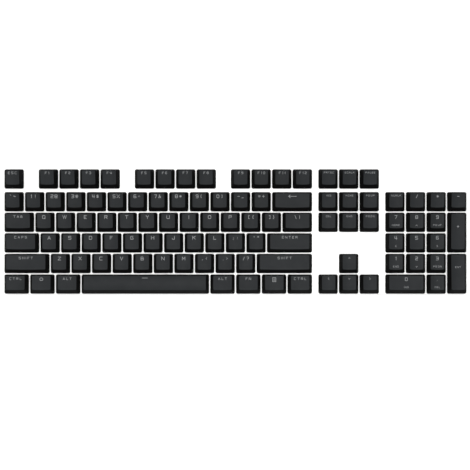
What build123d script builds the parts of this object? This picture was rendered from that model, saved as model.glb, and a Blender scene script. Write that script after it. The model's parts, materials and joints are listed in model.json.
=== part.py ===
"""Full-size mechanical keyboard: sculpted hollow keycaps on plunger switches, a steel switch
plate, a circuit board and a slim tray with two flip-out feet.

Millimetres. +X runs to the right along the rows, +Y to the back edge, +Z up. The origin is on
the desk, under the middle of the tray.
"""
import os
from copy import copy
from math import asin, cos, degrees, radians, sin

from build123d import *

# ---------------------------------------------------------------- driving dimensions
PITCH = 19.05                 # centre to centre of two standard keys
KEY_GAP = 1.12                # between two neighbouring skirts
FUNCTION_GAP = 2.0            # extra space in front of the function row
FIELD_WIDE = 22.5 * PITCH     # main block, quarter-key gap, navigation, quarter-key gap, numpad
FIELD_DEEP = 6 * PITCH + FUNCTION_GAP
TRAVEL = 4.0                  # full key travel

# heights above the desk
TRAY_UNDERSIDE = 1.2
TRAY_FLOOR = 3.7
BOARD_UNDERSIDE = 8.5
BOARD_TOP = BOARD_UNDERSIDE + 1.6
PLATE_TOP = BOARD_TOP + 5.0
PLATE_UNDERSIDE = PLATE_TOP - 1.5
SWITCH_TOP = PLATE_TOP + 6.6
STEM_TOP = PLATE_TOP + 10.2
SKIRT = PLATE_TOP + 5.6       # lower edge of every keycap at rest

# tray
TRAY_MARGIN = 0.3             # beyond the key field
TRAY_WIDE = FIELD_WIDE + 2 * TRAY_MARGIN
TRAY_DEEP = FIELD_DEEP + 2 * TRAY_MARGIN
TRAY_CORNER = 4.0
TRAY_WALL = 2.0
BOARD_CLEARANCE = 0.4

# keycaps
CAP_CORNER = 1.7
CAP_TOP_CORNER = 1.2
CAP_SIDE_INSET = 2.7          # the top is this much narrower on each side
CAP_LIP = 1.2                 # height of the nearly upright band above the skirt's edge
CAP_LIP_INSET = 0.18
CAP_WALL = 1.3
CAP_TOP_WALL = 2.0
CEILING_INSET = 0.9           # the hollow's ceiling is this much smaller than the top all round
DISH_DEPTH = 0.75
CROWN = 1.1                   # the space bar's top is arched instead of dished
RIM_DROP = 0.05
RIM_FILLET = 0.45
POST_RADIUS = 2.75
POST_FOOT = 1.1               # the posts start this far above the skirt's edge
CROSS_LONG = 4.1
CROSS_WIDE = 1.35
CROSS_DEEP = 3.8

# stem cross, a sliding fit in the keycap's post
STEM_CROSS_LONG = 4.0
STEM_CROSS_WIDE = 1.25

# height of the top's middle above the skirt, tilt of the top (back edge up), back and front inset
ROW_PROFILES = {
    "function": (10.6, 12, 1.2, 3.5),
    "number": (10.2, 9, 1.2, 3.5),
    "upper": (9.0, 6, 0.8, 3.7),
    "home": (8.6, 3, 0.85, 3.3),
    "lower": (8.9, -1, 0.75, 3.6),
    "bottom": (9.2, -4, 0.65, 3.9),
}

# row centre, counted from the front edge of the key field
ROW_CENTRES = {
    "bottom": 0.5 * PITCH,
    "lower": 1.5 * PITCH,
    "home": 2.5 * PITCH,
    "upper": 3.5 * PITCH,
    "number": 4.5 * PITCH,
    "function": 5.5 * PITCH + FUNCTION_GAP,
}

# node: (row, left edge in keys, widths in keys, depth in keys)
THIRD = 2 / 3                 # gap between the function blocks, in keys
NAVIGATION = 15.25
NUMPAD = 18.5
KEY_BANKS = {
    "space_bar": ("bottom", 3.75, [6.25], 1),
    "enter_key": ("home", 12.75, [2.25], 1),
    "backspace_key": ("number", 13, [2], 1),
    "left_shift_key": ("lower", 0, [2.25], 1),
    "right_shift_key": ("lower", 12.25, [2.75], 1),
    "numpad_zero_key": ("bottom", NUMPAD, [2], 1),
    "numpad_plus_key": ("home", NUMPAD + 3, [1], 2),
    "numpad_enter_key": ("bottom", NUMPAD + 3, [1], 2),
    "tab_key": ("upper", 0, [1.5], 1),
    "caps_lock_key": ("home", 0, [1.75], 1),
    "backslash_key": ("upper", 13.5, [1.5], 1),
    "escape_key": ("function", 0, [1], 1),
    "function_keys_f1_f4": ("function", 1 + THIRD, [1] * 4, 1),
    "function_keys_f5_f8": ("function", 5 + 2 * THIRD, [1] * 4, 1),
    "function_keys_f9_f12": ("function", 11, [1] * 4, 1),
    "system_keys": ("function", NAVIGATION, [1] * 3, 1),
    "number_keys_left": ("number", 0, [1] * 6, 1),
    "number_keys_right": ("number", 6, [1] * 7, 1),
    "letter_keys_q_t": ("upper", 1.5, [1] * 5, 1),
    "letter_keys_y_p": ("upper", 6.5, [1] * 5, 1),
    "bracket_keys": ("upper", 11.5, [1] * 2, 1),
    "letter_keys_a_g": ("home", 1.75, [1] * 5, 1),
    "letter_keys_h_quote": ("home", 6.75, [1] * 6, 1),
    "letter_keys_z_b": ("lower", 2.25, [1] * 5, 1),
    "letter_keys_n_slash": ("lower", 7.25, [1] * 5, 1),
    "left_modifier_keys": ("bottom", 0, [1.25] * 3, 1),
    "right_modifier_keys": ("bottom", 10, [1.25] * 4, 1),
    "up_arrow_key": ("lower", NAVIGATION + 1, [1], 1),
    "side_arrow_keys": ("bottom", NAVIGATION, [1] * 3, 1),
    "insert_keys": ("number", NAVIGATION, [1] * 3, 1),
    "delete_keys": ("upper", NAVIGATION, [1] * 3, 1),
    "numpad_operator_keys": ("number", NUMPAD, [1] * 4, 1),
    "numpad_keys_7_9": ("upper", NUMPAD, [1] * 3, 1),
    "numpad_keys_4_6": ("home", NUMPAD, [1] * 3, 1),
    "numpad_keys_1_3": ("lower", NUMPAD, [1] * 3, 1),
    "numpad_decimal_key": ("bottom", NUMPAD + 2, [1], 1),
}

# stabilised keys: half the distance between the two guides, and the turn of the wire about Z
STABILISED = {
    "space_bar": (50.0, 180),
    "enter_key": (11.94, 0),
    "backspace_key": (11.94, 0),
    "left_shift_key": (11.94, 0),
    "right_shift_key": (11.94, 0),
    "numpad_zero_key": (11.94, 180),
    "numpad_plus_key": (11.94, -90),
    "numpad_enter_key": (11.94, -90),
}

# switch
HOUSING_SIDE = 13.9
CUTOUT_SIDE = 14.0
FLANGE_SIDE = 15.6
FLANGE_THICK = 1.0
HOUSING_FLOOR = BOARD_TOP + 1.2
CENTRE_PIN_RADIUS = 1.95
SHOULDER_TOP = SWITCH_TOP - 1.25
SPRING_RADIUS = 2.1
SPRING_WIRE = 0.3
PIN_RADIUS = 0.6
PINS = [(-3.81, 2.54), (2.54, 5.08)]
LAMP_OFFSET = -4.9            # the lamp sits in front of the stem
LAMP = (3.2, 1.8, 1.5)

# stabiliser
WIRE_RADIUS = 0.75
WIRE_ARM = 9.0
BAR_HEIGHT = BOARD_TOP + 0.95
HOOK_REST = 16.2
HOOK_PRESSED = HOOK_REST - TRAVEL
ARM_REST = degrees(asin((HOOK_REST - BAR_HEIGHT) / WIRE_ARM))
ARM_PRESSED = degrees(asin((HOOK_PRESSED - BAR_HEIGHT) / WIRE_ARM))
BAR_OFFSET = WIRE_ARM * (cos(radians(ARM_REST)) + cos(radians(ARM_PRESSED))) / 2
GUIDE_STEM = (4.0, 5.6)
GUIDE_TOP = 17.6
ARM_OFFSET = GUIDE_STEM[0] / 2 + 0.2 + WIRE_RADIUS

# feet, pads, fasteners and electronics
FOOT_X = 170.0
FOOT_PIVOT_Y = 50.0
FOOT_PIVOT_Z = 2.5
FOOT_WIDE = 22.0
FOOT_LONG = 12.0
FOOT_HALF_THICK = 1.1
FOOT_TRUNNION = 1.0
POCKET_CEILING = 3.75
PAD_PLACES = [(-150, -47), (0, -47), (150, -47), (-125, 47), (0, 47), (125, 47)]
PAD_SIZE = (46.0, 9.0)
PAD_RECESS = 1.0
SCREW_RADIUS = 1.25
SCREW_HEAD = (2.3, 1.5)
STANDOFF_RADIUS = 2.0
GAP_ROW = 5 * PITCH + FUNCTION_GAP / 2
STANDOFFS = [(x * PITCH, GAP_ROW) for x in (0.5, 7.5, 15.125, 22)]
STANDOFFS += [(x * PITCH, 3 * PITCH) for x in (2, 9, 15.125, 18.375)]
STANDOFFS += [(x * PITCH, PITCH) for x in (2.9, 11.3, 15.125, 21)]
SOCKET_X = (10 + THIRD) * PITCH - FIELD_WIDE / 2
SOCKET = (8.94, 7.3, 3.26)


# ---------------------------------------------------------------- layout
def key_places(node):
    """(centre x, centre y, width, depth) of each key of a bank; x and y in the keyboard's frame."""
    row, left, widths, depth = KEY_BANKS[node]
    places = []
    for width in widths:
        x = (left + width / 2) * PITCH - FIELD_WIDE / 2
        y = ROW_CENTRES[row] + (depth - 1) * PITCH / 2 - FIELD_DEEP / 2
        places.append((x, y, width, depth))
        left += width
    return places


def all_places():
    return [place for node in KEY_BANKS for place in key_places(node)]


def stabilisers(node):
    """Location of a stabilised key's switch, turned so that its wire runs along local X."""
    spacing, turn = STABILISED[node]
    x, y, _, _ = key_places(node)[0]
    return Pos(x, y, 0) * Rot(0, 0, turn), spacing


# ---------------------------------------------------------------- keycaps
def slab(wide, deep, low, high, corner=0.0):
    face = RectangleRounded(wide, deep, corner) if corner else Rectangle(wide, deep)
    return extrude(Pos(0, 0, low) * face, high - low)


def cross(long, wide, low, high):
    return slab(long, wide, low, high) + slab(wide, long, low, high)


def post_places(node, width, depth):
    """Where a keycap has posts: over the switch, and over each stabiliser guide."""
    places = [(0, 0)]
    if node in STABILISED:
        spacing, turn = STABILISED[node]
        along_y = turn == -90
        places += [(0, side * spacing) if along_y else (side * spacing, 0) for side in (-1, 1)]
    return places


def keycap(row, width, depth, posts, arched=False):
    """One hollow cap with its skirt's edge at z = 0, over the switch at x = y = 0."""
    height, tilt, back, front = ROW_PROFILES[row]
    wide, deep = width * PITCH - KEY_GAP, depth * PITCH - KEY_GAP
    top_wide, top_deep = wide - 2 * CAP_SIDE_INSET, deep - back - front
    lean = (0, -sin(radians(tilt)), cos(radians(tilt)))
    top = Plane(origin=(0, (front - back) / 2, height), x_dir=(1, 0, 0), z_dir=lean)
    if arched:
        top = top.offset(CROWN)

    outer = loft(
        [
            RectangleRounded(wide, deep, CAP_CORNER),
            Pos(0, 0, CAP_LIP) * RectangleRounded(wide - 2 * CAP_LIP_INSET, deep - 2 * CAP_LIP_INSET, CAP_CORNER),
            top * RectangleRounded(top_wide, top_deep, CAP_TOP_CORNER),
        ],
        ruled=True,
    )
    if arched:
        radius = (top_deep**2 / 4 + CROWN**2) / (2 * CROWN)
        arch = top * Pos(0, 0, -radius - RIM_DROP) * Rot(0, 90, 0) * Cylinder(radius, 2 * wide)
        outer = outer & (arch + slab(2 * wide, 2 * deep, -1, height / 2))
    else:
        radius = (top_wide**2 / 4 + DISH_DEPTH**2) / (2 * DISH_DEPTH)
        dish = top * Pos(0, 0, radius - DISH_DEPTH - RIM_DROP) * Rot(90, 0, 0)
        outer = outer - dish * Cylinder(radius, 2 * deep)
    curved = [f for f in outer.faces() if f.geom_type == GeomType.CYLINDER and abs(f.radius - radius) < 1e-3]
    outer = fillet(curved[0].edges(), RIM_FILLET)

    ceiling = top.offset(-CAP_TOP_WALL - (CROWN if arched else 0))
    cavity = loft(
        [
            RectangleRounded(wide - 2 * CAP_WALL, deep - 2 * CAP_WALL, CAP_CORNER / 2),
            ceiling * RectangleRounded(top_wide - 2 * CEILING_INSET, top_deep - 2 * CEILING_INSET, CAP_CORNER / 2),
        ]
    )
    holes = []
    for x, y in posts:
        cavity -= Pos(x, y, POST_FOOT) * Cylinder(POST_RADIUS, 30, align=(Align.CENTER, Align.CENTER, Align.MIN))
        holes.append(Pos(x, y, 0) * cross(CROSS_LONG, CROSS_WIDE, POST_FOOT, POST_FOOT + CROSS_DEEP))
    return outer - cavity - holes


# ---------------------------------------------------------------- switches
def switch_stem():
    """The sliding plunger of a switch: cross, guided body, retaining shoulder and spring bore."""
    body = slab(7.0, 5.6, PLATE_TOP + 0.8, SWITCH_TOP - 0.2)
    shoulder = slab(9.0, 5.6, PLATE_TOP + 0.8, SHOULDER_TOP)
    bore = Pos(0, 0, PLATE_TOP + 0.8) * Cylinder(
        SPRING_RADIUS + 0.3, SHOULDER_TOP - PLATE_TOP - 0.8, align=(Align.CENTER, Align.CENTER, Align.MIN)
    )
    return body + shoulder + cross(STEM_CROSS_LONG, STEM_CROSS_WIDE, SWITCH_TOP - 0.2, STEM_TOP) - bore


def guide_stem():
    """The plunger of a stabiliser guide, slotted on its outer side (local +X) for the wire's hook."""
    wide, deep = GUIDE_STEM
    body = slab(wide, deep, HOOK_REST - 1.6, SWITCH_TOP - 0.2)
    slot = Pos(wide / 2, 0, HOOK_REST) * Box(wide, 3.8, 2 * WIRE_RADIUS + 0.5)
    return body - slot + cross(STEM_CROSS_LONG, STEM_CROSS_WIDE, SWITCH_TOP - 0.2, STEM_TOP)


def lower_housing():
    shell = slab(HOUSING_SIDE, HOUSING_SIDE, BOARD_TOP, PLATE_TOP)
    shell += slab(FLANGE_SIDE, FLANGE_SIDE, PLATE_TOP, PLATE_TOP + FLANGE_THICK)
    shell -= slab(HOUSING_SIDE - 2, HOUSING_SIDE - 2, HOUSING_FLOOR, PLATE_TOP + FLANGE_THICK)
    shell += Pos(0, 0, (BOARD_UNDERSIDE + BOARD_TOP) / 2) * Cylinder(CENTRE_PIN_RADIUS, BOARD_TOP - BOARD_UNDERSIDE)
    window = Pos(0, LAMP_OFFSET, 0) * slab(LAMP[0] + 0.4, LAMP[1] + 0.4, BOARD_TOP, HOUSING_FLOOR)
    return shell - window


def upper_housing():
    low = PLATE_TOP + FLANGE_THICK
    ceiling = SHOULDER_TOP + 0.05
    shell = loft([Pos(0, 0, low) * Rectangle(15.4, 15.4), Pos(0, 0, SWITCH_TOP) * Rectangle(10.6, 9.2)])
    hollow = loft([Pos(0, 0, low) * Rectangle(13.4, 13.4), Pos(0, 0, ceiling) * Rectangle(9.6, 8.0)])
    opening = slab(7.4, 6.0, low, SWITCH_TOP)
    return shell - hollow - opening


def spring():
    """Stand-in tube of the coil spring's outline, from the housing's floor to the stem's bore."""
    tall = SHOULDER_TOP - HOUSING_FLOOR
    tube = Cylinder(SPRING_RADIUS, tall) - Cylinder(SPRING_RADIUS - SPRING_WIRE, tall)
    return Pos(0, 0, HOUSING_FLOOR + tall / 2) * tube


def contact_pin():
    low = BOARD_UNDERSIDE - 3.2
    return Pos(0, 0, low) * Cylinder(PIN_RADIUS, BOARD_TOP - low, align=(Align.CENTER, Align.CENTER, Align.MIN))


def lamp():
    return Pos(0, LAMP_OFFSET, 0) * slab(LAMP[0], LAMP[1], BOARD_TOP, BOARD_TOP + LAMP[2])


# ---------------------------------------------------------------- stabilisers
def guide_housing():
    """Guide of one stabiliser plunger. The wire's arm swings in the slot on its local +X side."""
    wide, deep = GUIDE_STEM
    body = Pos(0.65, -1, 0) * slab(7.9, 12.0, BOARD_TOP, GUIDE_TOP)
    channel = slab(wide + 0.3, deep + 0.3, BOARD_TOP, GUIDE_TOP)
    arm_space = Pos(3.0, -3, 0) * slab(1.9, 10, BOARD_TOP, GUIDE_TOP - 0.5)
    return body - channel - arm_space


def stabiliser_wire(spacing):
    """Sprung-steel wire: a bar in front of the switch, an arm beside each guide, hooks pointing in."""
    rest = radians(ARM_REST)
    flat = Plane(origin=(0, -BAR_OFFSET, BAR_HEIGHT), x_dir=(1, 0, 0), z_dir=(0, -sin(rest), cos(rest)))
    outer, inner = spacing + ARM_OFFSET, spacing + 0.2
    path = FilletPolyline(
        (inner, WIRE_ARM), (outer, WIRE_ARM), (outer, 0), (-outer, 0), (-outer, WIRE_ARM), (-inner, WIRE_ARM),
        radius=1.0,
    )
    start = Plane(origin=path @ 0, z_dir=path % 0)
    return flat * sweep(start * Circle(WIRE_RADIUS), path=path)


# ---------------------------------------------------------------- plate, board and tray
def guide_cutouts(clearance):
    """Openings around every stabiliser guide, as faces on the XY plane."""
    cuts = []
    for node in STABILISED:
        place, spacing = stabilisers(node)
        for side in (0, 180):
            flip = Pos(spacing, 0, 0) if side == 0 else Pos(-spacing, 0, 0)
            centre = (0.65 if side == 0 else -0.65, -1, 0)
            cuts.append(place * flip * Pos(*centre) * Rectangle(7.9 + 2 * clearance, 12 + 2 * clearance))
    return cuts


def in_frame(points):
    """Points counted from the key field's front left corner, in the keyboard's frame."""
    return [(x - FIELD_WIDE / 2, y - FIELD_DEEP / 2) for x, y in points]


def switch_plate():
    cuts = [Pos(x, y, 0) * Rectangle(CUTOUT_SIDE, CUTOUT_SIDE) for x, y, _, _ in all_places()]
    cuts += guide_cutouts(0.15)
    sheet = RectangleRounded(TRAY_WIDE, TRAY_DEEP, TRAY_CORNER) - cuts
    plate = extrude(Pos(0, 0, PLATE_UNDERSIDE) * sheet, PLATE_TOP - PLATE_UNDERSIDE)
    rim = [e for e in plate.edges() if abs(e.center().Z - PLATE_TOP) < 1e-3 and on_outline(e)]
    return chamfer(rim, 0.35)


def on_outline(edge):
    x, y = abs(edge.center().X), abs(edge.center().Y)
    return x > TRAY_WIDE / 2 - TRAY_CORNER / 2 or y > TRAY_DEEP / 2 - TRAY_CORNER / 2


def circuit_board():
    wide = TRAY_WIDE - 2 * (TRAY_WALL + BOARD_CLEARANCE)
    deep = TRAY_DEEP - 2 * (TRAY_WALL + BOARD_CLEARANCE)
    cuts = []
    for x, y, _, _ in all_places():
        cuts.append(Pos(x, y, 0) * Circle(CENTRE_PIN_RADIUS + 0.05))
        cuts += [Pos(x + dx, y + dy, 0) * Circle(PIN_RADIUS + 0.05) for dx, dy in PINS]
    cuts += [Pos(x, y, 0) * Circle(STANDOFF_RADIUS + 0.3) for x, y in in_frame(STANDOFFS)]
    sheet = RectangleRounded(wide, deep, 2) - cuts
    return extrude(Pos(0, 0, BOARD_UNDERSIDE) * sheet, BOARD_TOP - BOARD_UNDERSIDE)


def bottom_tray():
    tray = slab(TRAY_WIDE, TRAY_DEEP, TRAY_UNDERSIDE, PLATE_UNDERSIDE, TRAY_CORNER)
    tray = chamfer(tray.edges().group_by(Axis.Z)[0], 1.0)
    tray -= slab(TRAY_WIDE - 2 * TRAY_WALL, TRAY_DEEP - 2 * TRAY_WALL, TRAY_FLOOR, PLATE_UNDERSIDE, 2)
    pocket_long = FOOT_LONG + 8.0
    pocket_y = FOOT_PIVOT_Y + FOOT_HALF_THICK + 0.3 - pocket_long / 2
    for side in (-1, 1):
        place = Pos(side * FOOT_X, pocket_y, 0)
        tray += place * slab(FOOT_WIDE + 6, pocket_long + 3, TRAY_FLOOR, POCKET_CEILING + 1.2)
        tray -= place * slab(FOOT_WIDE + 0.6, pocket_long, TRAY_UNDERSIDE, POCKET_CEILING)
        pivot = Pos(side * FOOT_X, FOOT_PIVOT_Y, FOOT_PIVOT_Z) * Rot(0, 90, 0)
        tray -= pivot * Cylinder(FOOT_TRUNNION + 0.06, FOOT_WIDE + 4.2)
    for x, y in PAD_PLACES:
        pad = slab(PAD_SIZE[0] + 0.1, PAD_SIZE[1] + 0.1, TRAY_UNDERSIDE, TRAY_UNDERSIDE + PAD_RECESS, 3)
        tray -= Pos(x, y, 0) * pad
    for x, y in in_frame(STANDOFFS):
        hole = Cylinder(SCREW_RADIUS + 0.1, 10)
        head = Pos(0, 0, TRAY_UNDERSIDE) * Cylinder(SCREW_HEAD[0] + 0.15, 2 * SCREW_HEAD[1] + 0.2)
        tray -= Pos(x, y, 0) * (hole + head)
    port = Pos(SOCKET_X, TRAY_DEEP / 2, BOARD_TOP + SOCKET[2] / 2) * Rot(90, 0, 0)
    tray -= port * extrude(RectangleRounded(SOCKET[0] + 0.3, SOCKET[2] + 0.3, 1.6), 6, both=True)
    return tray


def usb_c_socket():
    """Receptacle on the board's top: an open metal shell with the contact tongue inside."""
    wide, deep, tall = SOCKET
    section = RectangleRounded(wide, tall, tall / 2 - 0.02)
    mouth = RectangleRounded(wide - 0.6, tall - 0.6, (tall - 0.6) / 2 - 0.02)
    shell = extrude(section, deep) - Pos(0, 0, 0) * extrude(mouth, deep - 0.8)
    tongue = Pos(0, 0, deep / 2 + 0.3) * Box(6.7, 0.7, deep - 1.4)
    back = Pos(SOCKET_X, TRAY_DEEP / 2 - 0.3, BOARD_TOP + tall / 2) * Rot(90, 0, 0)
    return back * (shell + tongue)


def controller_chip():
    body = slab(10, 10, BOARD_TOP + 0.1, BOARD_TOP + 1.5)
    body = chamfer(body.edges().group_by(Axis.Z)[-1], 0.3)
    legs = []
    for turn in range(4):
        for step in range(-5, 6):
            legs.append(Rot(0, 0, 90 * turn) * Pos(0.8 * step, 5.4, BOARD_TOP + 0.15) * Box(0.3, 0.8, 0.3))
    return Pos(20.5 * PITCH - FIELD_WIDE / 2, FIELD_DEEP / 2 - PITCH / 2, 0) * (body + legs)


def tilt_foot(side):
    """Folded foot: lies forward of its pivot, flush in the tray's pocket."""
    thick = 2 * FOOT_HALF_THICK
    leaf = Pos(0, -FOOT_LONG / 2, 0) * Box(FOOT_WIDE, FOOT_LONG, thick)
    leaf += Rot(0, 90, 0) * Cylinder(FOOT_HALF_THICK, FOOT_WIDE)
    leaf += Pos(0, -FOOT_LONG, 0) * Rot(0, 90, 0) * Cylinder(FOOT_HALF_THICK, FOOT_WIDE)
    leaf -= Pos(0, -FOOT_LONG / 2 - 0.5, -FOOT_HALF_THICK) * Box(FOOT_WIDE - 7, FOOT_LONG - 5, 1.6)
    leaf += Rot(0, 90, 0) * Cylinder(FOOT_TRUNNION, FOOT_WIDE + 3.6)
    return Pos(side * FOOT_X, FOOT_PIVOT_Y, FOOT_PIVOT_Z) * leaf


def standoff():
    tall = PLATE_UNDERSIDE - TRAY_FLOOR
    tube = Cylinder(STANDOFF_RADIUS, tall) - Cylinder(SCREW_RADIUS + 0.03, tall)
    return Pos(0, 0, TRAY_FLOOR + tall / 2) * tube


def screw():
    radius, tall = SCREW_HEAD
    seat = TRAY_UNDERSIDE + tall + 0.1
    head = Pos(0, 0, seat - tall / 2) * Cylinder(radius, tall)
    head = fillet(head.edges().group_by(Axis.Z)[0], 0.5)
    slots = Pos(0, 0, seat - tall) * (Box(2.4, 0.5, 1.4) + Box(0.5, 2.4, 1.4))
    shank = Pos(0, 0, seat) * Cylinder(SCREW_RADIUS, 7, align=(Align.CENTER, Align.CENTER, Align.MIN))
    return head + shank - slots


def rubber_pad():
    pad = slab(PAD_SIZE[0], PAD_SIZE[1], 0, TRAY_UNDERSIDE + PAD_RECESS, 3)
    return fillet(pad.edges().group_by(Axis.Z)[0], 0.4)


# ---------------------------------------------------------------- assembly
def placed(shape, location):
    """A twin at another place that shares its geometry with the original."""
    twin = copy(shape)
    twin.move(location)
    return twin


def copies(shape, points):
    solid = shape.solid()
    return [placed(solid, Pos(x, y, 0)) for x, y in points]


def key_bank(node):
    """Every cap of a bank with the plungers that move with it."""
    row = KEY_BANKS[node][0]
    pieces = []
    for x, y, width, depth in key_places(node):
        shape = (row, width, depth, node in STABILISED)
        if shape not in CAPS:
            posts = post_places(node, width, depth)
            cap = keycap(row, width, depth, posts, arched=node == "space_bar")
            CAPS[shape] = cap.solid()
        pieces += [placed(CAPS[shape], Pos(x, y, SKIRT)), placed(STEM, Pos(x, y, 0))]
    if node in STABILISED:
        pieces += pair(GUIDES, node)
    return pieces


def both_hands(shape):
    """The piece for the guide on the right of the switch, and its mirror image for the left."""
    return shape.solid(), mirror(shape, about=Plane.YZ).solid()


def pair(hands, node):
    """The right and left pieces of one stabiliser, where it stands on the board."""
    place, spacing = stabilisers(node)
    right, left = hands
    return [placed(right, place * Pos(spacing, 0, 0)), placed(left, place * Pos(-spacing, 0, 0))]


def guide_housings():
    hands = both_hands(guide_housing())
    return [piece for node in STABILISED for piece in pair(hands, node)]


def write(node, pieces):
    solids = [solid for piece in pieces for solid in piece.solids()]
    export_step(Compound(children=solids), f"parts/{node}.step")


CAPS = {}
STEM = switch_stem().solid()
GUIDES = both_hands(guide_stem())


def main():
    os.makedirs("parts", exist_ok=True)
    switches = [(x, y) for x, y, _, _ in all_places()]
    pins = [(x + dx, y + dy) for x, y in switches for dx, dy in PINS]
    standoffs = in_frame(STANDOFFS)
    for node in KEY_BANKS:
        write(node, key_bank(node))
    for node in STABILISED:
        place, spacing = stabilisers(node)
        write(node.replace("_key", "") + "_wire", [place * stabiliser_wire(spacing)])
    write("switch_plate", [switch_plate()])
    write("circuit_board", [circuit_board()])
    write("bottom_tray", [bottom_tray()])
    write("switch_upper_housings", copies(upper_housing(), switches))
    write("switch_lower_housings", copies(lower_housing(), switches))
    write("switch_springs", copies(spring(), switches))
    write("switch_contact_pins", copies(contact_pin(), pins))
    write("key_lamps", copies(lamp(), switches))
    write("stabiliser_guides", guide_housings())
    write("usb_c_socket", [usb_c_socket()])
    write("controller_chip", [controller_chip()])
    write("left_tilt_foot", [tilt_foot(-1)])
    write("right_tilt_foot", [tilt_foot(1)])
    write("rubber_pads", copies(rubber_pad(), PAD_PLACES))
    write("plate_standoffs", copies(standoff(), standoffs))
    write("tray_screws", copies(screw(), standoffs))


main()
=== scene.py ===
"""Studio scene of a full-size mechanical keyboard, seen from straight above.

Metres throughout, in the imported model's own frame: +X right along the rows, +Y to the back edge,
+Z up, with the origin on the desk under the middle of the tray.
"""
import json
from math import cos, pi, sin

import bpy
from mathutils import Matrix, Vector
from mathutils.bvhtree import BVHTree


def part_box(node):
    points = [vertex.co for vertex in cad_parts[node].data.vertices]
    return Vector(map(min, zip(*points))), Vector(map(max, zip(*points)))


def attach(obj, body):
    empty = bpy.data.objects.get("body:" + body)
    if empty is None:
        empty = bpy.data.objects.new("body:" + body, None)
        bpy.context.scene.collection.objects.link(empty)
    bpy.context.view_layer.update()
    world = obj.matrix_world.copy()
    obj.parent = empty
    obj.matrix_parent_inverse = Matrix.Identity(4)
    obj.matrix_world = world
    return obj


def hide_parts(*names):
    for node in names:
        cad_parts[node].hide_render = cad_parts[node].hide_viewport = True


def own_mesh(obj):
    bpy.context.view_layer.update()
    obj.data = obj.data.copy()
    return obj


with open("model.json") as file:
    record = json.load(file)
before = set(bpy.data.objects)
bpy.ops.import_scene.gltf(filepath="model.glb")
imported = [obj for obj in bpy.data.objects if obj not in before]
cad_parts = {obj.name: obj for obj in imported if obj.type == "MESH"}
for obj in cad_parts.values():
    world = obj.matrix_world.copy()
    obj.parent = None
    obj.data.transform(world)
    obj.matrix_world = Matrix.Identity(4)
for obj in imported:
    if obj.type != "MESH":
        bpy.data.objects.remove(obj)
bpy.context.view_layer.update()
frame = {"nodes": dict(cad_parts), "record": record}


# ---------------------------------------------------------------- driving values
PITCH = 0.01905               # from one key to the next
KEY_GAP = 0.00112             # between two caps' lower edges

# legends
LETTER_HEIGHT = 0.0028        # of letters, digits and drawn signs, between the strokes' middle lines
WORD_HEIGHT = 0.0019
SMALL_WORD_HEIGHT = 0.00135   # of words in small tight capitals
ARROW_HEIGHT = 0.0018
LEGEND_BACK = 0.0028          # from the skirt's back edge to the legend's upper edge
LEGEND_STRETCH = 0.87         # the lettering's width, as a share of what the grid of GLYPHS gives
STROKE_WIDTH = 0.15           # as a share of the lettering's height, like the next three
CORNER_CUT = 0.2
LETTER_GAP = 0.95             # between two letters of a word
SMALL_LETTER_GAP = 0.68       # the same in small tight capitals
MITRE_LIMIT = 0.4             # a sharp corner reaches out by half the stroke's width over this, at most
WORD_MARGIN = 0.0077          # the least that a word leaves free of its key's width
LEGEND_RAISE = 0.00003        # how far the inlays stand proud of the cap
LEGEND_DEPTH = 0.00012        # and how far they reach into it
TALL_KEY_BACK = 0.0115        # as LEGEND_BACK, on a key two rows deep
SIGN_CELL = 0.0028            # the least room that a sign of a pair takes
SIGN_GAP = 0.0009             # between two signs side by side
LINE_PITCH = 0.0081           # from the back line of a number-pad key to its front line

# springs
SPRING_RADIUS = 0.00195       # of the coil's middle line
SPRING_WIRE = 0.0003          # the wire's thickness
SPRING_TURNS = 8
STEPS_PER_TURN = 12
WIRE_SIDES = 5

# camera
CAMERA_HEIGHT = 1.371
CAMERA_OFFSET = (-0.0004, -0.0032)
SENSOR = 36.0
SEEN_WIDTH = 0.435            # what the picture takes in at the skirts' level
SKIRT_LEVEL = 0.0207          # the height of the caps' lower edges

# finishes
TONE_DETAIL = 5.0             # octaves of the noise in the colour
GLOSS_DETAIL = 4.0
GRAIN_DETAIL = 2.0
WEAR_FROM = 0.53              # pointiness at which an edge begins to show wear
WEAR_FULL = 0.59
WEAR_SHARE = 0.6              # how much of the wear colour the sharpest edges take
SHADED_WALL_UPTO = 0.86              # upward part of a face's normal, up to which it counts as a wall and is painted in full shade
UNSHADED_TOP_FROM = 0.94               # and from which it counts as a top, without painted shade


def new_piece(name, points, faces, material):
    """A mesh object of one material, added to the scene."""
    mesh = bpy.data.meshes.new(name)
    mesh.from_pydata(points, [], faces)
    mesh.materials.append(material)
    piece = bpy.data.objects.new(name, mesh)
    bpy.context.collection.objects.link(piece)
    return piece


# ---------------------------------------------------------------- materials
def object_noise(tree, size, detail):
    """Noise with features of about `size` metres, fixed to the object. Returns its factor socket."""
    place = tree.nodes.new("ShaderNodeTexCoord")
    noise = tree.nodes.new("ShaderNodeTexNoise")
    noise.inputs["Scale"].default_value = 1 / size
    noise.inputs["Detail"].default_value = detail
    tree.links.new(place.outputs["Object"], noise.inputs["Vector"])
    return noise.outputs["Fac"]


def remap(tree, factor, low, high, to_low, to_high):
    """The factor's range low to high, spread over to_low to to_high. Returns the result's socket."""
    ramp = tree.nodes.new("ShaderNodeMapRange")
    for socket, value in zip(("From Min", "From Max", "To Min", "To Max"), (low, high, to_low, to_high)):
        ramp.inputs[socket].default_value = value
    tree.links.new(factor, ramp.inputs["Value"])
    return ramp.outputs["Result"]


def mix_colour(tree, factor, first, second):
    """first and second are colours or sockets; factor is a socket."""
    mix = tree.nodes.new("ShaderNodeMix")
    mix.data_type = "RGBA"
    tree.links.new(factor, mix.inputs[0])
    for socket, value in ((mix.inputs[6], first), (mix.inputs[7], second)):
        if isinstance(value, bpy.types.NodeSocket):
            tree.links.new(value, socket)
        else:
            socket.default_value = (*value, 1)
    return mix.outputs[2]


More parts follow.
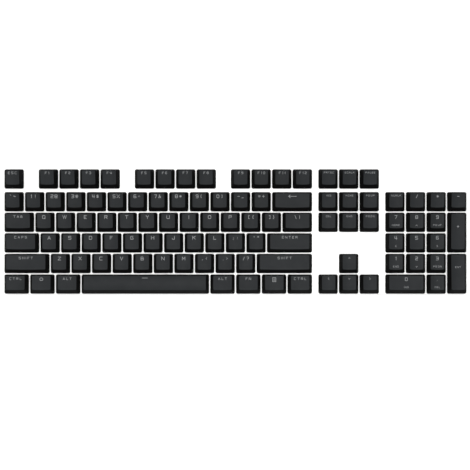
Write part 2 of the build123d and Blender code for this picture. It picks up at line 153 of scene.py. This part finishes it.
def surface(name, tones, patch, roughness, grain, relief, wear=None, painted_wall_shade=None, **shader_values):
    """A finish with uneven tone and gloss and a fine relief, fixed to the object.

    tones: darker and lighter base colour; patch: size of their patches; roughness: lowest and
    highest; grain: size of the relief's bumps; relief: their height; wear: the colour that edges
    are rubbed to; painted_wall_shade: the base colour's value of faces that stand upright, painted
    dark as shade, and their roughness.
    """
    material = bpy.data.materials.new(name)
    material.use_nodes = True
    tree = material.node_tree
    shader = tree.nodes["Principled BSDF"]
    for socket, value in shader_values.items():
        shader.inputs[socket.replace("_", " ")].default_value = value
    uneven = remap(tree, object_noise(tree, patch, TONE_DETAIL), 0.35, 0.65, 0, 1)
    colour = mix_colour(tree, uneven, *tones)
    if wear:
        geometry = tree.nodes.new("ShaderNodeNewGeometry")
        edges = remap(tree, geometry.outputs["Pointiness"], WEAR_FROM, WEAR_FULL, 0, WEAR_SHARE)
        colour = mix_colour(tree, edges, colour, wear)
    gloss = remap(tree, object_noise(tree, patch / 4, GLOSS_DETAIL), 0.3, 0.7, *roughness)
    # Upright faces take a near black base colour, which is painted shade on the walls, and a roughness of
    # their own.
    if painted_wall_shade:
        place = tree.nodes.new("ShaderNodeTexCoord")
        split = tree.nodes.new("ShaderNodeSeparateXYZ")
        tree.links.new(place.outputs["Normal"], split.inputs[0])
        painted_wall_shade_mask = remap(tree, split.outputs["Z"], SHADED_WALL_UPTO, UNSHADED_TOP_FROM, 1, 0)
        colour = mix_colour(tree, painted_wall_shade_mask, colour, (painted_wall_shade[0],) * 3)
        gloss = mix_colour(tree, painted_wall_shade_mask, gloss, (painted_wall_shade[1],) * 3)
    tree.links.new(colour, shader.inputs["Base Color"])
    tree.links.new(gloss, shader.inputs["Roughness"])
    bump = tree.nodes.new("ShaderNodeBump")
    bump.inputs["Distance"].default_value = relief
    tree.links.new(object_noise(tree, grain, GRAIN_DETAIL), bump.inputs["Height"])
    tree.links.new(bump.outputs["Normal"], shader.inputs["Normal"])
    return material


def make_materials():
    """One finish for each of the record's material slots."""
    white = ((0.80, 0.80, 0.79), (0.88, 0.88, 0.87))
    dull_steel = ((0.42, 0.42, 0.43), (0.55, 0.55, 0.56))
    return {
        "keycap_plastic": surface(
            "keycap_plastic", ((0.0135, 0.0150, 0.0163), (0.0158, 0.0173, 0.0187)), 0.012, (0.60, 0.68),
            # the caps' upright walls are painted near black as shade, and are fully rough
            0.00022, 0.000008, painted_wall_shade=(0.0008, 1.0), Specular_IOR_Level=0.11,
        ),
        "legend_plastic": surface(
            "legend_plastic", ((0.17, 0.175, 0.18), (0.21, 0.215, 0.22)), 0.006, (0.5, 0.62),
            0.0002, 0.000006,
        ),
        "plate_metal": surface(
            "plate_metal", white, 0.05, (0.40, 0.55), 0.0006, 0.000015,
        ),
        "case_plastic": surface(
            "case_plastic", ((0.74, 0.74, 0.73), (0.80, 0.80, 0.79)), 0.06, (0.45, 0.6), 0.0005, 0.000025,
            wear=(0.66, 0.66, 0.65),
        ),
        "foot_plastic": surface(
            "foot_plastic", ((0.70, 0.70, 0.69), (0.77, 0.77, 0.76)), 0.02, (0.4, 0.55), 0.0005, 0.00002,
            wear=(0.6, 0.6, 0.59),
        ),
        "switch_housing": surface(
            "switch_housing", ((0.70, 0.71, 0.72), (0.80, 0.81, 0.82)), 0.01, (0.18, 0.3), 0.0004, 0.000004,
        ),
        "switch_base": surface(
            "switch_base", ((0.66, 0.66, 0.65), (0.74, 0.74, 0.73)), 0.01, (0.4, 0.5), 0.0003, 0.00001,
        ),
        "guide_plastic": surface(
            "guide_plastic", ((0.68, 0.68, 0.67), (0.76, 0.76, 0.75)), 0.01, (0.3, 0.42), 0.0003, 0.000008,
        ),
        "circuit_laminate": surface(
            "circuit_laminate", ((0.72, 0.73, 0.71), (0.82, 0.83, 0.81)), 0.02, (0.25, 0.4), 0.0008, 0.000008,
        ),
        "chip_resin": surface(
            "chip_resin", ((0.012, 0.012, 0.013), (0.02, 0.02, 0.022)), 0.004, (0.5, 0.6), 0.0002, 0.00001,
        ),
        "lamp_resin": surface(
            "lamp_resin", ((0.80, 0.74, 0.42), (0.88, 0.82, 0.50)), 0.002, (0.12, 0.2), 0.0003, 0.000004,
        ),
        "pad_rubber": surface(
            "pad_rubber", ((0.018, 0.018, 0.019), (0.032, 0.032, 0.034)), 0.01, (0.75, 0.9), 0.0004, 0.00003,
            wear=(0.06, 0.06, 0.062),
        ),
        "spring_steel": surface(
            "spring_steel", dull_steel, 0.003, (0.25, 0.4), 0.0004, 0.000004, Metallic=1.0,
        ),
        "contact_metal": surface(
            "contact_metal", dull_steel, 0.002, (0.2, 0.4), 0.0003, 0.000004, Metallic=1.0,
        ),
        "wire_steel": surface(
            "wire_steel", dull_steel, 0.003, (0.15, 0.3), 0.0003, 0.000003, Metallic=1.0,
        ),
        "socket_steel": surface(
            "socket_steel", ((0.5, 0.5, 0.51), (0.62, 0.62, 0.63)), 0.003, (0.25, 0.42), 0.0004, 0.000006,
            wear=(0.75, 0.75, 0.76), Metallic=1.0,
        ),
        "standoff_brass": surface(
            "standoff_brass", ((0.60, 0.44, 0.18), (0.74, 0.56, 0.25)), 0.002, (0.2, 0.35), 0.0003, 0.000005,
            Metallic=1.0,
        ),
        "screw_steel": surface(
            "screw_steel", ((0.22, 0.22, 0.23), (0.34, 0.34, 0.35)), 0.002, (0.3, 0.5), 0.0003, 0.000008,
            wear=(0.6, 0.6, 0.6), Metallic=1.0,
        ),
    }


def dress_cad_nodes(materials):
    """Each CAD node takes the finish of its slot in the record."""
    for part in frame["record"]["subparts"]:
        piece = frame["nodes"][part["node"]]
        for slot in piece.material_slots:
            slot.material = materials[part["material_slot"]]


# ---------------------------------------------------------------- legends
# node: key widths in keys, and what each key says. A space parts two signs side by side, and a
# line break parts the sign at the back of the key from the one at its front. A word in small
# letters is shown in small tight capitals, where "_" is a blank, apart from the names of the drawn
# signs. "^", "v", "<" and ">" are arrow heads.
LEGENDS = {
    "escape_key": ([1], ["ESC"]),
    "function_keys_f1_f4": ([1] * 4, ["F1", "F2", "F3", "F4"]),
    "function_keys_f5_f8": ([1] * 4, ["F5", "F6", "F7", "F8"]),
    "function_keys_f9_f12": ([1] * 4, ["F9", "F10", "F11", "F12"]),
    "system_keys": ([1] * 3, ["prtsc", "scrlk", "pause"]),
    "number_keys_left": ([1] * 6, ["` ~", "1 !", "2 @", "3 #", "4 $", "5 %"]),
    "number_keys_right": ([1] * 7, ["6 ^", "7 &", "8 *", "9 (", "0 )", "- _", "= +"]),
    "backspace_key": ([2], ["arrow"]),
    "insert_keys": ([1] * 3, ["ins", "home", "pg_up"]),
    "numpad_operator_keys": ([1] * 4, ["numlk", "/", "*", "-"]),
    "tab_key": ([1.5], ["TAB"]),
    "letter_keys_q_t": ([1] * 5, list("QWERT")),
    "letter_keys_y_p": ([1] * 5, list("YUIOP")),
    "bracket_keys": ([1] * 2, ["[ {", "] }"]),
    "backslash_key": ([1.5], ["\\ |"]),
    "delete_keys": ([1] * 3, ["del", "end", "pg_dn"]),
    "numpad_keys_7_9": ([1] * 3, ["7\nhome", "8\n^", "9\npg_up"]),
    "caps_lock_key": ([1.75], ["CAPS"]),
    "letter_keys_a_g": ([1] * 5, list("ASDFG")),
    "letter_keys_h_quote": ([1] * 6, [*"HJKL", "; :", "' \""]),
    "enter_key": ([2.25], ["ENTER"]),
    "numpad_keys_4_6": ([1] * 3, ["4\n<", "5", "6\n>"]),
    "numpad_plus_key": ([1], ["+"]),
    "left_shift_key": ([2.25], ["SHIFT"]),
    "letter_keys_z_b": ([1] * 5, list("ZXCVB")),
    "letter_keys_n_slash": ([1] * 5, ["N", "M", ", <", ". >", "/ ?"]),
    "right_shift_key": ([2.75], ["SHIFT"]),
    "up_arrow_key": ([1], ["^"]),
    "numpad_keys_1_3": ([1] * 3, ["1\nend", "2\nv", "3\npg_dn"]),
    "left_modifier_keys": ([1.25] * 3, ["CTRL", "ring", "ALT"]),
    "space_bar": ([6.25], ["dash"]),
    "right_modifier_keys": ([1.25] * 4, ["ALT", "FN", "menu", "CTRL"]),
    "side_arrow_keys": ([1] * 3, ["<", "v", ">"]),
    "numpad_zero_key": ([2], ["0\nins"]),
    "numpad_decimal_key": ([1], [".\ndel"]),
    "numpad_enter_key": ([1], ["ent"]),
}
TALL_KEYS = ("numpad_plus_key", "numpad_enter_key")
ARROW_HEADS = ("^", "v", "<", ">")
DRAWN_SIGNS = ("arrow", "menu", "ring", "dash")


def outline_strokes(sign):
    """A drawn sign as (points, closed) strokes, about one unit tall, or None for a sign made of letters."""
    if sign == "arrow":
        return [([(3.0, 0.5), (0.1, 0.5)], False), ([(0.7, 0.95), (0.1, 0.5), (0.7, 0.05)], False)]
    if sign == "ring":
        return [([(0.6 * cos(a * pi / 8), 0.5 + 0.45 * sin(a * pi / 8)) for a in range(16)], True)]
    if sign == "menu":
        border = [(0, -0.3), (1.2, -0.3), (1.2, 1), (0, 1)]
        lines = [[(0.35, height), (0.85, height)] for height in (0.15, 0.55)]
        return [(border, True)] + [(line, False) for line in lines]
    if sign == "dash":
        return [([(0, 0.9), (2.0, 0.9)], False)]
    if sign == "^":
        return [([(0, 0.2), (0.5, 0.8), (1, 0.2)], False)]
    if sign == "v":
        return [([(0, 0.8), (0.5, 0.2), (1, 0.8)], False)]
    if sign == "<":
        return [([(0.8, 0), (0.2, 0.5), (0.8, 1)], False)]
    if sign == ">":
        return [([(0.2, 0), (0.8, 0.5), (0.2, 1)], False)]
    return None


def stroke_mesh(strokes, width):
    """Flat closed bars one unit thick along each stroke: (points, faces). Open ends are square."""
    points, faces = [], []
    for line, closed in strokes:
        line = [Vector(p) for p in line]
        if not closed:
            first, last = line[0] - line[1], line[-1] - line[-2]
            if not first.length:
                first, last = Vector((0, 1)), Vector((0, -1))
            line[0] = line[0] + first.normalized() * width / 2
            line[-1] = line[-1] + last.normalized() * width / 2
        count = len(line)
        start = len(points)
        for i, here in enumerate(line):
            before = line[i - 1] if closed or i else here
            after = line[(i + 1) % count] if closed or i < count - 1 else here
            ahead = (after - here).normalized() if (after - here).length else (here - before).normalized()
            behind = (here - before).normalized() if (here - before).length else ahead
            middle = (ahead + behind).normalized()
            aside = Vector((-middle.y, middle.x)) * width / 2 / max(middle.dot(ahead), MITRE_LIMIT)
            for side in (1, -1):
                for level in (1, -1):
                    points.append((*(here + side * aside), level))
        for i in range(count if closed else count - 1):
            a, b = start + 4 * i, start + 4 * ((i + 1) % count)
            faces += [(a, a + 2, b + 2, b), (a + 1, b + 1, b + 3, a + 3)]
            faces += [(a, b, b + 1, a + 1), (a + 2, a + 3, b + 3, b + 2)]
        if not closed:
            a, b = start, start + 4 * (count - 1)
            faces += [(a, a + 1, a + 3, a + 2), (b, b + 2, b + 3, b + 1)]
    return points, faces


# Squared lettering of even strokes on a grid six steps tall. Each stroke is written as pairs of digits,
# x then y. "r" before a stroke rounds its corners, and "o" also closes it. One pair alone would be no
# stroke, so a dot is a pair written twice.
GLYPHS = {
    "A": "003660 1252", "B": "r0006565343 r03636000", "C": "r66060060", "D": "r06666000 0006",
    "E": "56060050 0343", "F": "560600 0343", "G": "r660600606333", "H": "0006 6066 0363",
    "I": "0006", "J": "r56500002", "K": "0006 6603 2460", "L": "060050",
    "M": "0006326660", "N": "00066066", "O": "o00066660", "P": "0006 r06666303",
    "Q": "o00066660 4260", "R": "0006 r06666303 3360", "S": "r660603636000", "T": "0666 3036",
    "U": "r06006066", "V": "063066", "W": "0620466086", "X": "0066 0660", "Y": "063366 3330", "Z": "06660060",
    "0": "o00065650", "1": "152620", "2": "r065653030050", "3": "r06565000 1353", "4": "060252 4640",
    "5": "560603 r03535000", "6": "r560600505303", "7": "065620", "8": "o00065650 0353", "9": "r530306565000",
    "`": "0615", "~": "03143243", "!": "0602 0000", "@": "r60000666624244242242",
    "#": "2026 4046 0262 0464", "$": "r450503434101 2026",
    "%": "0066 o05061615 o50516160", "&": "r501416363402003053",
    "*": "2125 0244 0442", "(": "16050110", ")": "06151100", "-": "0343", "_": "0040", "=": "0242 0444",
    "+": "0343 2125", "[": "26060020", "]": "06262000", "{": "26161403121020", "}": "06161423121000",
    "\\": "0630", "|": "0006", ";": "1414 1100", ":": "0404 0101", "'": "0604", '"': "0604 2624",
    ",": "1100", ".": "0000", "/": "0036", "?": "r0646432322 2020",
}


def round_corners(line, closed):
    """The same line with each inner corner, or each corner of a closed line, cut by a short arc."""
    rounded = []
    for i, corner in enumerate(line):
        if not closed and i in (0, len(line) - 1):
            rounded.append(corner)
            continue
        before, after = line[i - 1] - corner, line[(i + 1) % len(line)] - corner
        first = corner + before.normalized() * min(CORNER_CUT, before.length / 2)
        last = corner + after.normalized() * min(CORNER_CUT, after.length / 2)
        rounded += [first, (first + 2 * corner + last) / 4, last]
    return rounded


def text_strokes(text):
    """A row of letters as (points, closed) strokes, one unit tall."""
    strokes = []
    left = 0
    gap = SMALL_LETTER_GAP if text.islower() else LETTER_GAP
    for letter in text.upper():
        if letter == "_" and len(text) > 1:
            left += gap / 2
            continue
        reach = 0
        for stroke in GLYPHS[letter].split():
            digits = stroke.lstrip("ro")
            line = [Vector((int(x) / 6, int(y) / 6)) for x, y in zip(digits[::2], digits[1::2])]
            reach = max(reach, *(point.x for point in line))
            if digits != stroke:
                line = round_corners(line, stroke[0] == "o")
            strokes.append(([point + Vector((left, 0)) for point in line], stroke[0] == "o"))
        left += reach + gap
    return strokes


def sign_mesh(sign):
    """The sign as flat bars, about one unit tall: (points, faces)."""
    return stroke_mesh(outline_strokes(sign) or text_strokes(sign), STROKE_WIDTH)


SIGN_MESHES = {}              # sign: (points, faces), made once and used on every key that bears it


def sign_height(sign):
    """How tall the sign stands on its key, in metres."""
    if sign in ARROW_HEADS:
        return ARROW_HEIGHT
    if len(sign) == 1 or sign in DRAWN_SIGNS:
        return LETTER_HEIGHT
    return SMALL_WORD_HEIGHT if sign.islower() else WORD_HEIGHT


def place_line(text, centre, room, back, points, faces):
    """Adds one line of a key's legend, flat, to points and faces. A point's third value is its level:
    1 on top and -1 below. A word that is wider than the room on its key is squeezed.
    """
    runs = []
    for sign in text.split(" "):
        if sign not in SIGN_MESHES:
            SIGN_MESHES[sign] = sign_mesh(sign)
        shape, shape_faces = SIGN_MESHES[sign]
        height = sign_height(sign)
        low = min(point[0] for point in shape)
        high = max(point[0] for point in shape)
        stretch = min(LEGEND_STRETCH, room / (high - low) / height)
        cell = max((high - low) * height * stretch, SIGN_CELL)
        runs.append((shape, shape_faces, height, (low + high) / 2, stretch, cell))
    x = centre - (sum(run[-1] for run in runs) + SIGN_GAP * (len(runs) - 1)) / 2
    tallest = max(run[2] for run in runs)
    for shape, shape_faces, height, middle, stretch, cell in runs:
        start = len(points)
        foot = back - tallest + (tallest - height) / 2
        for px, py, level in shape:
            points.append((x + cell / 2 + (px - middle) * height * stretch, foot + py * height, level))
        faces += [tuple(start + i for i in face) for face in shape_faces]
        x += cell + SIGN_GAP


def key_centres(node):
    """The middle of each key of a bank, from left to right."""
    low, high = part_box(node)
    left = low[0] - KEY_GAP / 2
    for width in LEGENDS[node][0]:
        yield left + width * PITCH / 2, (low[1] + high[1]) / 2
        left += width * PITCH


def add_legends(node, materials):
    """Inlays that follow the keys' dished tops, in one piece for each bank of keys."""
    widths, texts = LEGENDS[node]
    key_mesh = frame["nodes"][node].data
    tops = BVHTree.FromPolygons([v.co for v in key_mesh.vertices], [p.vertices for p in key_mesh.polygons])
    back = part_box(node)[1][1] - (TALL_KEY_BACK if node in TALL_KEYS else LEGEND_BACK)
    points, faces = [], []
    for width, text, (centre, _) in zip(widths, texts, key_centres(node)):
        for i, line in enumerate(text.split("\n")):
            room = width * PITCH - WORD_MARGIN
            place_line(line, centre, room, back - i * LINE_PITCH, points, faces)
    settled = []
    for x, y, level in points:
        hit = tops.ray_cast(Vector((x, y, 1)), Vector((0, 0, -1)))[0]
        settled.append((x, y, hit.z + (LEGEND_RAISE if level > 0 else -LEGEND_DEPTH)))
    piece = new_piece(node + "_legends", settled, faces, materials["legend_plastic"])
    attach(piece, node)


# ---------------------------------------------------------------- springs
def coil(x, y, low, high):
    """A closed round wire wound about the upright axis at x, y: (points, faces)."""
    steps = SPRING_TURNS * STEPS_PER_TURN
    points, faces = [], []
    for step in range(steps + 1):
        turn = 2 * pi * step / STEPS_PER_TURN
        middle = low + SPRING_WIRE / 2 + (high - low - SPRING_WIRE) * step / steps
        for side in range(WIRE_SIDES):
            around = 2 * pi * side / WIRE_SIDES
            reach = SPRING_RADIUS + SPRING_WIRE / 2 * cos(around)
            height = middle + SPRING_WIRE / 2 * sin(around)
            points.append((x + reach * cos(turn), y + reach * sin(turn), height))
    for step in range(steps):
        for side in range(WIRE_SIDES):
            a, b = step * WIRE_SIDES + side, step * WIRE_SIDES + (side + 1) % WIRE_SIDES
            faces.append((a, a + WIRE_SIDES, b + WIRE_SIDES, b))
    last = steps * WIRE_SIDES
    faces.append(tuple(range(WIRE_SIDES)))
    faces.append(tuple(reversed(range(last, last + WIRE_SIDES))))
    return points, faces


def add_springs(node, materials):
    """The coil springs under a bank of keys, in one piece."""
    low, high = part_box("switch_springs")
    points, faces = [], []
    for x, y in key_centres(node):
        start = len(points)
        wire_points, wire_faces = coil(x, y, low[2], high[2])
        points += wire_points
        faces += [tuple(start + i for i in face) for face in wire_faces]
    piece = new_piece(node + "_springs", points, faces, materials["spring_steel"])
    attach(piece, "chassis")
    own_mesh(piece)
    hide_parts("switch_springs")


# ---------------------------------------------------------------- studio
def add_floor():
    """The light floor that the keyboard lies on."""
    half = 4.0
    corners = [(-half, -half, 0), (half, -half, 0), (half, half, 0), (-half, half, 0)]
    finish = surface(
        "studio_floor", ((0.86, 0.86, 0.86), (0.89, 0.89, 0.89)), 0.4, (0.6, 0.7), 0.002, 0.00002,
    )
    floor = new_piece("studio_floor", corners, [(0, 1, 2, 3)], finish)


def add_light(name, kind, place, target, energy, size):
    """A lamp at `place`, turned to `target`: a disc of that size, or a ball of that radius."""
    data = bpy.data.lights.new(name, kind)
    data.energy = energy
    if kind == "AREA":
        data.shape = "DISK"
        data.size = size
    else:
        data.shadow_soft_size = size
    light = bpy.data.objects.new(name, data)
    light.location = place
    light.rotation_euler = (Vector(target) - Vector(place)).to_track_quat("-Z", "Y").to_euler()
    bpy.context.collection.objects.link(light)


def add_studio():
    """A strong lamp above, three soft ones and a faint white surround."""
    add_light("overhead_lamp", "POINT", (0.0, 0.02, 1.46), (0, 0, 0), 60.0, 0.06)
    add_light("overhead_softbox", "AREA", (-0.1, 0.15, 1.75), (0, 0, 0), 18.0, 1.2)
    add_light("left_softbox", "AREA", (-1.5, -0.9, 1.0), (0, 0, 0), 4.0, 0.9)
    add_light("right_softbox", "AREA", (1.5, -0.7, 1.1), (0, 0, 0), 3.0, 0.9)
    world = bpy.data.worlds.new("studio")
    world.use_nodes = True
    world.node_tree.nodes["Background"].inputs["Color"].default_value = (1, 1, 1, 1)
    world.node_tree.nodes["Background"].inputs["Strength"].default_value = 0.12
    bpy.context.scene.world = world


def add_camera():
    """A camera that looks straight down."""
    data = bpy.data.cameras.new("camera")
    data.sensor_width = SENSOR
    data.lens = SENSOR * (CAMERA_HEIGHT - SKIRT_LEVEL) / SEEN_WIDTH
    data.clip_start = 0.05
    camera = bpy.data.objects.new("camera", data)
    camera.location = (*CAMERA_OFFSET, CAMERA_HEIGHT)
    bpy.context.collection.objects.link(camera)
    bpy.context.scene.camera = camera


add_camera()
add_studio()
add_floor()
finishes = make_materials()
dress_cad_nodes(finishes)
for bank in LEGENDS:
    add_legends(bank, finishes)
    add_springs(bank, finishes)
bpy.context.scene.view_settings.view_transform = "Standard"
